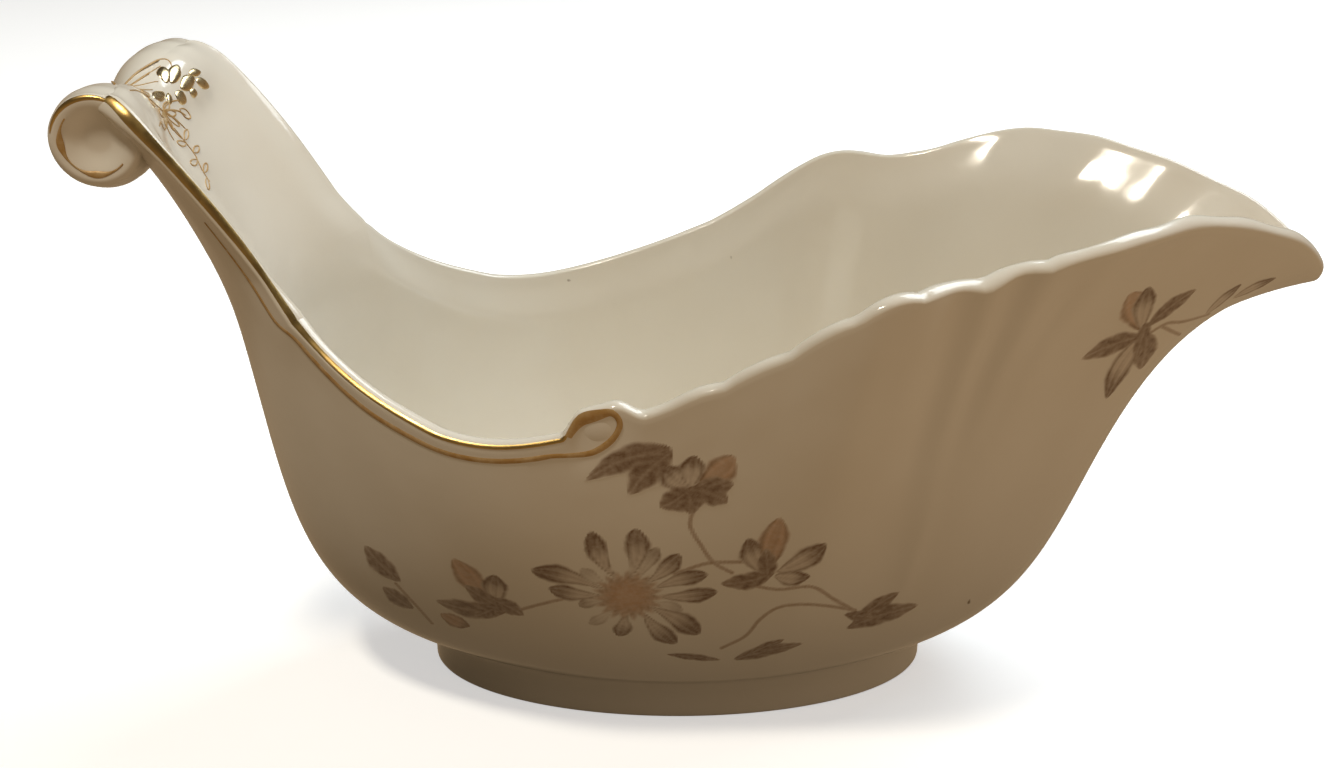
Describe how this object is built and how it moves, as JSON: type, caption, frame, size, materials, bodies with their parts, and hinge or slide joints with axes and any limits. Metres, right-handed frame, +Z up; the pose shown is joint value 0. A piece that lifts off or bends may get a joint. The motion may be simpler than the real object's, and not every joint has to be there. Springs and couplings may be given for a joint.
{
  "type": "gravy boat",
  "caption": "Footed oval porcelain sauce boat with a flaring spout, an upswept back tongue rolled into a scroll handle, gilt lines and faded flower sprays.",
  "frame": {"origin": "on the surface it stands on, under the middle of its length and width", "axes": "+X towards the spout, +Z up, -Y the side with the rim scroll"},
  "size_m": [0.2064, 0.0966, 0.1094],
  "materials": {
    "porcelain": "clear gloss glaze over warm ivory porcelain",
    "gilding": "burnished gold, a little worn"
  },
  "bodies": {
    "root": {"bowl": "porcelain", "foot_ring": "porcelain", "tongue": "porcelain", "scroll": "porcelain", "rim_scroll": "porcelain", "gilt_rim_near": "gilding", "gilt_rim_far": "gilding", "gilt_volute_near": "gilding", "gilt_volute_far": "gilding"}
  },
  "joints": []
}
